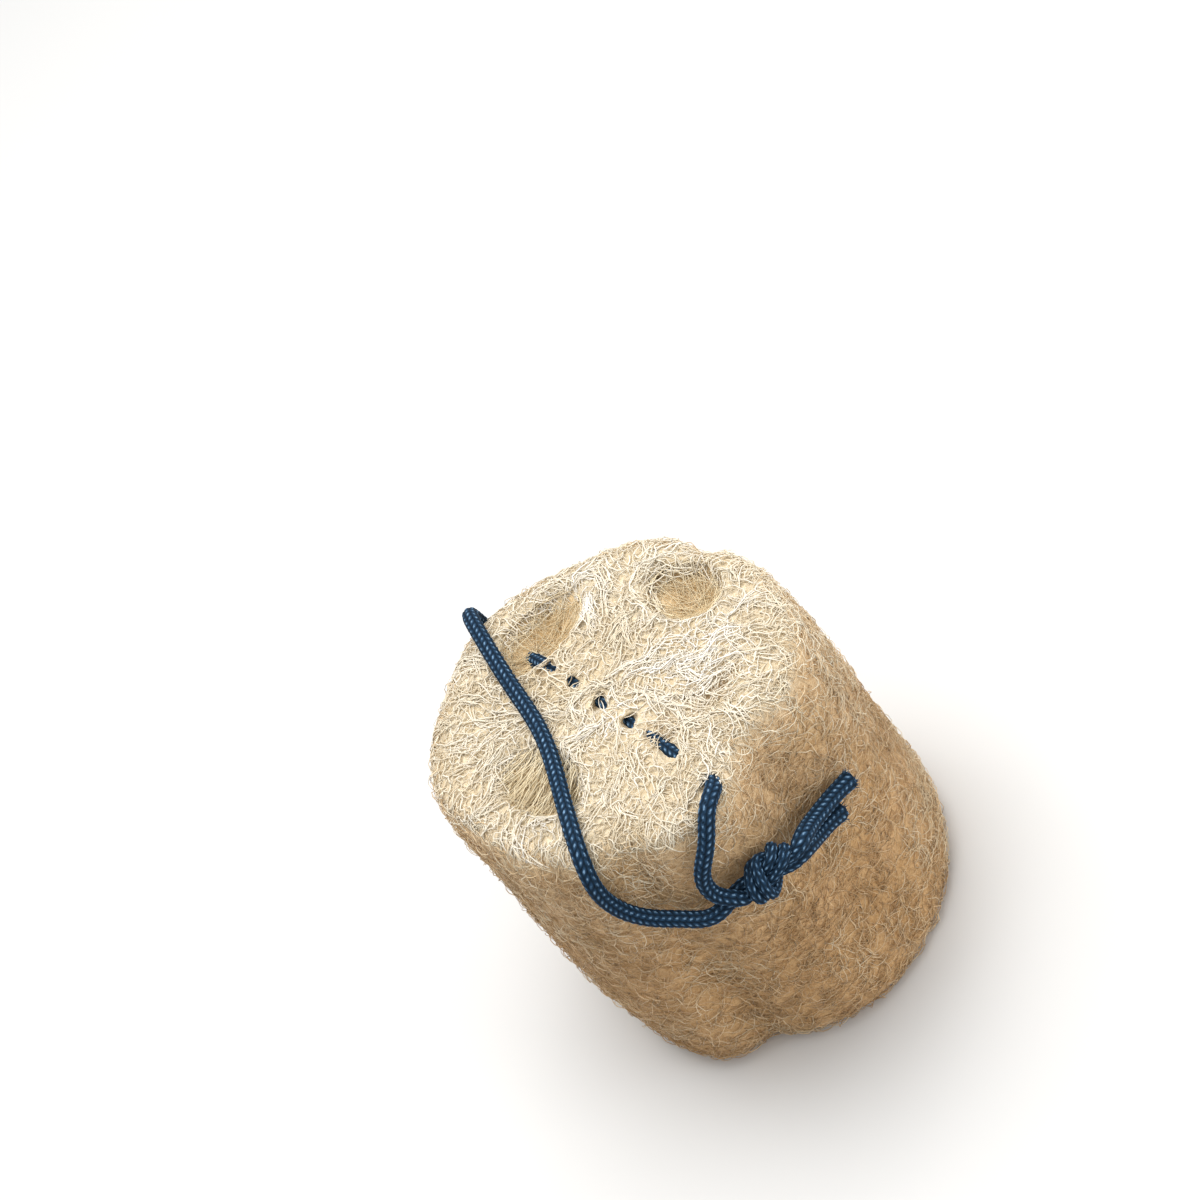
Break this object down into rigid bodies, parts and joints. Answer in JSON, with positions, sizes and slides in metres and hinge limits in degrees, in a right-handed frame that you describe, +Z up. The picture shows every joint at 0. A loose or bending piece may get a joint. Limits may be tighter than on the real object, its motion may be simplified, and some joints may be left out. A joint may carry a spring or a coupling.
{
  "type": "natural loofah sponge",
  "caption": "Cut length of dried loofah gourd fibre standing on a cut end, with open seed channels and a knotted braided hanging cord threaded through its wall.",
  "frame": {"origin": "under the middle of the sponge, on the surface that its lower cut face rests on", "axes": "+Z up along the gourd's axis, -Y towards the side with the knot, +X to that side's right"},
  "size_m": [0.1091, 0.1223, 0.1091],
  "materials": {
    "loofah_fibre": "matte",
    "navy_braid": "matte"
  },
  "bodies": {
    "root": {"loofah": "loofah_fibre", "cord": "navy_braid"}
  },
  "joints": []
}
